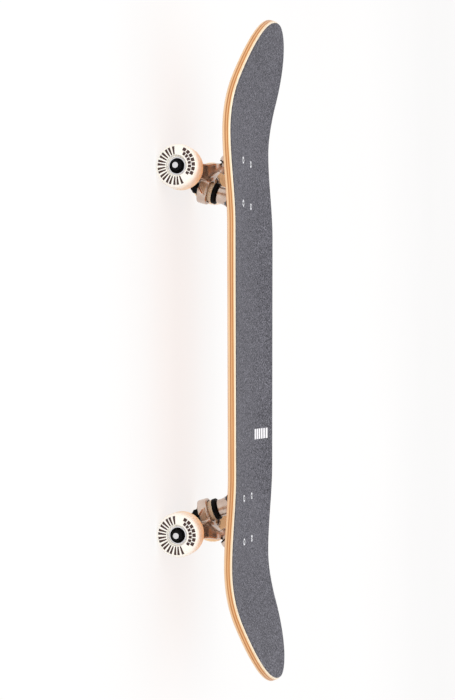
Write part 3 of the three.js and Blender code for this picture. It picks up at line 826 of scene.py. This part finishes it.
def bearing_shapes():
    """Two steel races, and the rubber shields between them."""
    h = BEARING_HALF
    outer = rounded([
        (9.4, -h, 0.15), (11, -h, 0.4), (11, h, 0.4), (9.4, h, 0.15),
        (9.15, h - 0.7), (9.15, -h + 0.7),
    ])
    inner = rounded([
        (4.06, -h, 0.3), (5.9, -h, 0.15), (6.1, -h + 0.7),
        (6.1, h - 0.7), (5.9, h, 0.15), (4.06, h, 0.3),
    ])
    shields = []
    for side in (-1, 1):
        profile = rounded([
            (6.0, h - 0.75), (9.25, h - 0.75), (9.3, h - 0.3, 0.1),
            (8.9, h - 0.14, 0.2), (7.4, h - 0.14, 0.2), (7.1, h - 0.4, 0.15),
            (6.3, h - 0.4, 0.1), (6.0, h - 0.3, 0.1),
        ])
        if side < 0:
            profile = [(r, -z) for r, z in profile][::-1]
        shields.append(lathe(profile, 72))
    return merged(lathe(outer, 72), lathe(inner, 72)), merged(*shields)


def axle_nut_shape():
    """A hexagonal lock nut with its nylon collar outwards."""
    body = hex_body(12.7, 4.05, 0, 4.9)
    collar = rounded([(4.05, 4.7), (5.9, 4.7), (5.75, 5.9, 0.5), (5.0, 6.3, 0.3), (4.05, 6.3, 0.2)])
    return merged(body, lathe(collar, 48))


def ring_shape(inner, outer, low, high, edge=0.12, segments=64):
    corners = [(inner, low, edge), (outer, low, edge), (outer, high, edge), (inner, high, edge)]
    return lathe(rounded(corners, True, 2), segments)


def make_wheels():
    wheel_mesh = new_object("wheel_model", *wheel_shape(), URETHANE, 50)
    ink_mesh = new_object("ink_model", *ink_shape(), INK)
    races, shields = bearing_shapes()
    race_mesh = new_object("race_model", *races, GROUND)
    shield_mesh = new_object("shield_model", *shields, RUBBER)
    nut_mesh = new_object("nut_model", *axle_nut_shape(), BLACK)
    washer_mesh = new_object("washer_model", *ring_shape(4.06, 5.8, 0, SPEED_WASHER_THICKNESS), STEEL)
    models = (wheel_mesh, ink_mesh, race_mesh, shield_mesh, nut_mesh, washer_mesh)
    for end in ENDS:
        for side in SIDES:
            name = f"{end}_{side}"
            wheel_set, hanger_set = f"{name}_wheel_set", f"{end}_hanger_set"
            centre = Vector(JOINTS[f"{name}_wheel_spin"]["pos_m"])
            outward = math.copysign(1, centre.y)
            # +Z outwards along the axle, and +X up towards the deck.
            axes = Matrix(((0, outward, 0), (0, 0, outward), (1, 0, 0))).to_4x4()
            place = Matrix.Translation(centre) @ axes
            tyre = copy_of(wheel_mesh, f"{name}_tyre")
            settle(tyre, wheel_set, [f"{name}_wheel"], place)
            settle(copy_of(ink_mesh, f"{name}_print"), wheel_set, (), place)
            for where, along in (("inner", -BEARING_OFFSET), ("outer", BEARING_OFFSET)):
                seat = place @ Matrix.Translation((0, 0, along * MM))
                race = copy_of(race_mesh, f"{name}_{where}_races")
                settle(race, wheel_set, [f"{name}_{where}_bearing"], seat)
                shield = copy_of(shield_mesh, f"{name}_{where}_shields")
                settle(shield, wheel_set, (), seat)
            washers = {"outer": BEARING_END + SPEED_WASHER_GAP, "inner": -BEARING_END - SPEED_WASHER_ROOM}
            for where, along in washers.items():
                washer = copy_of(washer_mesh, f"{name}_{where}_spacer")
                stands_for = [f"{name}_speed_washer"] if where == "outer" else ()
                washer_place = place @ Matrix.Translation((0, 0, along * MM))
                settle(washer, hanger_set, stands_for, washer_place)
            nut = copy_of(nut_mesh, f"{name}_nut")
            nut_place = place @ Matrix.Translation((0, 0, (BEARING_END + SPEED_WASHER_ROOM) * MM))
            settle(nut, hanger_set, [f"{name}_axle_nut"], nut_place)
    for model in models:
        bpy.data.objects.remove(model)


# -------------------------------------------------------- trucks, about the axle's centre, +X outwards
KINGPIN_ORIGIN = (-23.4, 25.0)
KINGPIN_LEAN = math.radians(17.1)
RING_AT = 13.0
PIVOT_ANGLE, PIVOT_REACH = math.radians(37.9), 41.3
PLATE = {"inner": -48.0, "outer": 24.5, "half": 27.0, "top": 54.26, "thickness": 5.8}
RING_CENTRE = (
    KINGPIN_ORIGIN[0] + RING_AT * math.sin(KINGPIN_LEAN),
    KINGPIN_ORIGIN[1] - RING_AT * math.cos(KINGPIN_LEAN),
)
PIVOT_POINT = (
    RING_CENTRE[0] + PIVOT_REACH * math.cos(PIVOT_ANGLE),
    RING_CENTRE[1] + PIVOT_REACH * math.sin(PIVOT_ANGLE),
)
HANGER_SIDE = [
    (-24, 8), (-14, 0), (-6, -10), (0, -12), (8, -9.5), (12, -2), (12, 10), (13, 19), (15.2, 26),
    (14.2, 32.5), (8.5, 36), (1.4, 26.5), (-6, 19), (-20, 15),
]
HANGER_FRONT = [
    (0, -12), (24, -10.5), (50, -9), (50, 9), (32, 11.5), (17, 18.5), (9.5, 27), (7, 37), (0, 37),
]
HANGER_PLAN = [(-24, 0), (-24, 15.5), (-14, 17.5), (-9, 24), (-6, 36), (-4, 50), (16, 50), (16, 0)]
HANGER_POCKET = [(-28, 13.5), (-25, 11), (-13, 4.6), (-7, 9), (-9.5, 19)]
POCKET_FLOOR = 14.3
ARM_HALF_LENGTH, ARM_END_RADIUS, ARM_SWELL = 68.2, 9.2, 2.6
RING_RADIUS, BUSHING_SEAT_RADIUS, RING_HOLE_RADIUS = 17.0, 13.0, 6.5
PIVOT_NOSE_RADIUS, PIVOT_NOSE_CENTRE = 6.2, 5.0
PLATE_CORNER = 7.0
BOSS_RADIUS, BOSS_FLARE = 10.9, 4.2
HOUSING_RADIUS, CUP_RADIUS = 10.2, 8.7
RIB_HALF = 3.5
PAD_RADIUS, BOLT_CLEARANCE = 7.2, 2.65
BOLT_ALONG = (-39.15, 14.825)
BOLT_ACROSS = 20.64


def axle_frame(end):
    """From a truck's own frame, in metres, to the row's."""
    left, right = (Vector(JOINTS[f"{end}_{side}_wheel_spin"]["pos_m"]) for side in SIDES)
    turn = math.pi if left.x < 0 else 0.0
    return Matrix.Translation((left + right) / 2) @ Matrix.Rotation(turn, 4, "Z")


def leaning(origin, angle):
    """A frame in the truck's middle plane, whose +Z leans by the angle towards +X."""
    return Matrix.Translation((origin[0] * MM, 0, origin[1] * MM)) @ Matrix.Rotation(angle, 4, "Y")


ON_KINGPIN = leaning(KINGPIN_ORIGIN, -KINGPIN_LEAN)
ON_PIVOT = leaning(PIVOT_POINT, math.pi / 2 - PIVOT_ANGLE)


def within(points, frame_matrix):
    """Points of the truck's frame, in millimetres, in a leaning frame."""
    inverse = np.array(frame_matrix.inverted())
    return points @ inverse[:3, :3].T + inverse[:3, 3] / MM


def hanger_field(p):
    u, y, h = p[:, 0], np.abs(p[:, 1]), p[:, 2]
    king, pivot = within(p, ON_KINGPIN), within(p, ON_PIVOT)
    side = field_polygon(u, h, HANGER_SIDE)
    front = field_polygon(y, h, [(-30, -12), *HANGER_FRONT[1:-1], (-30, 37)])
    plan = field_polygon(u, y, [(-24, -30), *HANGER_PLAN[1:-1], (16, -30)])
    body = soft_max(soft_max(side, front, 4.0), plan, 4.0)
    arm_radius = ARM_END_RADIUS + ARM_SWELL * np.clip(1 - y / 68, 0, 1) ** 1.6
    arms = np.maximum(np.hypot(u, h) - arm_radius, y - ARM_HALF_LENGTH)
    body = soft_min(body, arms, 5.0)
    ring = field_rod(king, RING_RADIUS, -21, -8, 1.2)
    body = soft_min(body, ring, 2.4)
    pocket = soft_max(field_polygon(u, h, HANGER_POCKET), POCKET_FLOOR - y, 2.0)
    body = soft_max(body, -pocket, 3.0)
    nose = np.maximum(
        np.hypot(pivot[:, 0], pivot[:, 1]) - PIVOT_NOSE_RADIUS,
        np.abs(pivot[:, 2] + 3.5) - 8.5,
    )
    ball = np.linalg.norm(pivot - [0, 0, PIVOT_NOSE_CENTRE], axis=1) - PIVOT_NOSE_RADIUS
    body = soft_min(body, np.minimum(nose, ball), 1.5)
    body = soft_max(body, -(np.hypot(u, h) - 4.02), 0.3)
    body = soft_max(body, -field_rod(king, RING_HOLE_RADIUS, -30, 5, 0.2), 0.8)
    body = soft_max(body, -field_rod(king, BUSHING_SEAT_RADIUS, -11.5, 12, 0.8), 0.6)
    body = soft_max(body, -field_rod(king, BUSHING_SEAT_RADIUS, -22, -15.5, 0.8), 0.6)
    body = soft_max(body, -field_box(king, (-32, -18, -24.8), (12.2, 18, -21), 0.5), 0.8)
    return soft_max(body, -field_box(king, (-32, -18, -60), (9.2, 18, -23), 0.5), 1.5)


def baseplate_field(p):
    u, y, h = p[:, 0], p[:, 1], p[:, 2]
    king, pivot = within(p, ON_KINGPIN), within(p, ON_PIVOT)
    top, under = PLATE["top"], PLATE["top"] - PLATE["thickness"]
    corner = PLATE_CORNER
    middle = (PLATE["inner"] + PLATE["outer"]) / 2
    qx = np.abs(u - middle) - (PLATE["outer"] - PLATE["inner"]) / 2 + corner
    qy = np.abs(y) - PLATE["half"] + corner
    plan = np.hypot(np.maximum(qx, 0), np.maximum(qy, 0)) + np.minimum(np.maximum(qx, qy), 0) - corner
    plate = soft_max(plan, np.maximum(under - h, h - top - 5), 1.2)
    flare = BOSS_RADIUS + BOSS_FLARE * np.clip((king[:, 2] - 9) / 15, 0, 1) ** 1.5
    boss = soft_max(np.hypot(king[:, 0], king[:, 1]) - flare, 3.0 - king[:, 2], 1.2)
    housing = soft_max(np.hypot(pivot[:, 0], pivot[:, 1]) - HOUSING_RADIUS, 0.9 - pivot[:, 2], 1.0)
    saddle_end = (PLATE["outer"] - 0.5, HOUSING_RADIUS, under + 2)
    saddle = field_box(p, (8, -HOUSING_RADIUS, 43), saddle_end, 2.0)
    rib = field_box(p, (-16, -RIB_HALF, 44), (10, RIB_HALF, under + 2), 1.2)
    pads = [
        np.maximum(np.hypot(u - x, y - side * BOLT_ACROSS) - PAD_RADIUS, under - 0.5 - h)
        for x in BOLT_ALONG for side in (-1, 1)
    ]
    mass = soft_min(soft_min(soft_min(plate, boss, 4.0), soft_min(housing, saddle, 3.0), 4.0), rib, 3.0)
    for pad in pads:
        mass = soft_min(mass, pad, 0.8)
    mass = np.maximum(soft_max(mass, plan, 1.0), h - top)
    for x in BOLT_ALONG:
        mass = np.maximum(mass, -(np.hypot(u - x, np.abs(y) - BOLT_ACROSS) - BOLT_CLEARANCE))
    mass = soft_max(mass, -(np.hypot(king[:, 0], king[:, 1]) - 5.0), 0.3)
    mass = soft_max(mass, -field_rod(king, 8.6, 20.3, 60, 0.3), 0.4)
    mass = soft_max(mass, -field_rod(pivot, CUP_RADIUS, -8, 12.9, 0.4), 0.4)
    return soft_max(mass, -field_rod(pivot, 13.5, -14, 0.8, 0.3), 0.6)


def boardside_washer_shape():
    """A pressed cup, open downwards."""
    return lathe(rounded([
        (5.0, 2.7, 0.2), (12.6, 2.7, 1.4), (13.6, 1.9, 0.5), (13.6, -2.75, 0.3), (12.75, -2.75, 0.3),
        (12.75, 0.4, 0.6), (12.0, 1.3, 0.6), (5.0, 1.3, 0.2),
    ])[::-1], 72)


def roadside_washer_shape():
    """A smaller cup, open upwards."""
    return lathe(rounded([
        (5.0, -23.9, 0.2), (9.7, -23.9, 1.0), (10.5, -23.2, 0.5), (10.5, -20.7, 0.3), (9.75, -20.7, 0.3),
        (9.75, -22.2, 0.4), (9.3, -22.7, 0.3), (5.0, -22.7, 0.2),
    ]), 72)


def boardside_bushing_shape():
    """A barrel, slightly squeezed, so that its wall bulges."""
    low, high, radius, bulge = -11.2, 1.15, 12.1, 0.45
    wall = [
        (radius + bulge * math.sin(math.pi * t), low + (high - low) * t)
        for t in np.linspace(0.1, 0.9, 11)
    ]
    return lathe([(5.0, low), (radius - 0.9, low), (radius - 0.3, low + 0.35), *wall,
                  (radius - 0.3, high - 0.35), (radius - 0.9, high), (5.0, high)], 96)


def roadside_bushing_shape():
    low, high = -22.5, -15.8
    wall = [
        (9.55 + 1.3 * t + 0.3 * math.sin(math.pi * t), low + (high - low) * t)
        for t in np.linspace(0.08, 0.92, 9)
    ]
    return lathe([(5.0, low), (9.2, low), *wall, (10.3, high), (5.0, high)], 96)


def kingpin_shape():
    shaft = lathe([
        (0, -33.6), (3.9, -33.6), (4.7, -32.8), *threads(4.72, -32.6, -22.0, 1.06, 0.45),
        (4.76, -21.5), (4.76, 20.2), (0, 20.2),
    ], 48)
    head = hex_body(14.0, 0.6, 20.05, 26.4)
    return merged(shaft, head)


def kingpin_nut_shape():
    body = hex_body(14.3, 4.8, -29.6, -23.95)
    collar = rounded([(4.8, -29.4), (4.8, -31, 0.2), (5.9, -31, 0.4), (6.7, -30.5, 0.5), (6.8, -29.4)])
    return merged(body, lathe(collar, 48))


def pivot_cup_shape():
    steps = 8
    ball = [(6.4 * math.cos(a), 5 + 6.4 * math.sin(a)) for a in np.linspace(0, math.pi / 2, steps)]
    outside = [(8.6, 0.5), (9.4, 0.5), (9.4, -0.5), (6.4, -0.5)]
    return lathe([(0, 12.6), (7.8, 12.6), (8.6, 11.8), *outside, *ball[:-1], (0, 11.4)], 64)


def axle_shape():
    """A plain rod with a chamfer and a stretch of thread at each end."""
    half = 101.6
    top = [
        (4.0, 80.0), *threads(4.0, 88.0, half - 1.0, 1.06, 0.4),
        (3.6, half - 0.4), (3.2, half), (0, half),
    ]
    bottom = [(r, -z) for r, z in reversed(top)]
    return lathe([*bottom, *top], 64)


def bolt_shape():
    """A countersunk machine screw, with its top at zero."""
    return lathe([
        (0, -25.3), (1.9, -25.3), (2.35, -24.8), *threads(2.4, -24.6, -12.0, 0.8, 0.3), (2.4, -11.5),
        (2.4, -2.7), (4.25, -0.45), (4.5, -0.35), (4.5, -0.2), (4.2, 0), (0, 0),
    ], 48)


def cross_cutter():
    """Two tapered blades: the recess for a cross-head driver, painted black in its second material as
    painted shade.
    """
    made = []
    for turn in (0, 1):
        top, bottom, deep = (2.8, 0.9), (1.2, 0.5), 1.9
        corners = [
            (sx * size[0], sy * size[1], z)
            for size, z in ((bottom, -deep), (top, 0.5))
            for sx, sy in ((-1, -1), (1, -1), (1, 1), (-1, 1))
        ]
        if turn:
            corners = [(-y, x, z) for x, y, z in corners]
        faces = [(3, 2, 1, 0), (4, 5, 6, 7)] + [(i, (i + 1) % 4, (i + 1) % 4 + 4, i + 4) for i in range(4)]
        blade = new_object(f"blade_{turn}", corners, faces, STEEL)
        # Painted shade: the recess walls take the black material.
        blade.data.materials.append(BLACK)
        blade.data.polygons.foreach_set("material_index", [1] * len(faces))
        made.append(blade)
    return made


def locknut_shape():
    body = hex_body(9.5, 2.45, -3.9, 0)
    collar = rounded([(2.45, -3.7), (2.45, -5.0, 0.1), (3.2, -5.0, 0.3), (4.1, -4.6, 0.4), (4.2, -3.7)])
    return merged(body, lathe(collar, 40))


TRUCK_PIECES = (
    # name, shape, material, slot, CAD node, frame, on the hanger's body
    ("axle_rod", axle_shape, STEEL, "bright_steel", "axle", Matrix.Rotation(math.pi / 2, 4, "X"), True),
    ("pivot_socket", pivot_cup_shape, RUBBER, "black_plastic", "pivot_cup", ON_PIVOT, False),
    ("kingpin_bolt", kingpin_shape, BLACK, "black_steel", "kingpin", ON_KINGPIN, False),
    ("kingpin_locknut", kingpin_nut_shape, BLACK, "black_steel", "kingpin_nut", ON_KINGPIN, False),
    ("upper_cup", boardside_washer_shape, BLACK, "black_steel", "boardside_washer", ON_KINGPIN, False),
    ("lower_cup", roadside_washer_shape, BLACK, "black_steel", "roadside_washer", ON_KINGPIN, False),
)
BUSHINGS = (
    # name, shape, CAD node, heights along the kingpin at the board's end and at the hanger's
    ("upper_bushing", boardside_bushing_shape, "boardside_bushing", 1.0, -11.0),
    ("lower_bushing", roadside_bushing_shape, "roadside_bushing", -22.5, -15.9),
)


def make_trucks():
    hanger_mesh = mesh_of(hanger_field, (-40, -70, -15), (24, 70, 48), 0.9)
    plate_mesh = mesh_of(baseplate_field, (-50, -29, 24), (27, 29, 56), 0.75)
    cast_hanger = new_object("hanger_model", *hanger_mesh, CAST, 70)
    cast_plate = new_object("plate_model", *plate_mesh, CAST, 70)
    bolt = new_object("bolt_model", *bolt_shape(), STEEL)
    # The screw's second material is black: painted shade in its cross recess.
    bolt.data.materials.append(BLACK)
    carve(bolt, *cross_cutter())
    locknut = new_object("locknut_model", *locknut_shape(), BLACK)
    for end in ENDS:
        place = axle_frame(end)
        hanger_set = f"{end}_hanger_set"
        hanger = copy_of(cast_hanger, f"{end}_cast_hanger")
        settle(hanger, hanger_set, [f"{end}_hanger"], place)
        baseplate = copy_of(cast_plate, f"{end}_cast_baseplate")
        settle(baseplate, "board", [f"{end}_baseplate"], place)
        for name, shape, material, slot, node, local, on_hanger in TRUCK_PIECES:
            piece = new_object(f"{end}_{name}", *shape(), material)
            settle(piece, hanger_set if on_hanger else "board", [f"{end}_{node}"], place @ local)
        for name, shape, node, at_board, at_hanger in BUSHINGS:
            piece = new_object(f"{end}_{name}", *shape(), BUSHING)
            piece.matrix_world = place @ ON_KINGPIN
            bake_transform(piece)
            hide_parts(f"{end}_{node}")
    for end, number, head in bolt_places():
        spin = Matrix.Rotation(math.radians(37 * number + (11 if end == "front" else 0)), 4, "Z")
        name = f"{end}_screw_{number}"
        screw = copy_of(bolt, name)
        settle(screw, "board", [f"{end}_bolt_{number}"], Matrix.Translation(head) @ spin)
        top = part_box(f"{end}_locknut_{number}")[1].z
        under = Matrix.Translation((head.x, head.y, top)) @ spin
        name = f"{end}_screw_nut_{number}"
        settle(copy_of(locknut, name), "board", [f"{end}_locknut_{number}"], under)
    for model in (cast_hanger, cast_plate, bolt, locknut):
        bpy.data.objects.remove(model)


def make_floor():
    size = 30000.0
    corners = [(-size, -size, 0), (size, -size, 0), (size, size, 0), (-size, size, 0)]
    floor = new_object("floor", corners, [(0, 1, 2, 3)], floor_material())


make_camera()
make_light()
make_floor()
make_deck()
make_grip()
make_grip_mark()
make_wheels()
make_trucks()
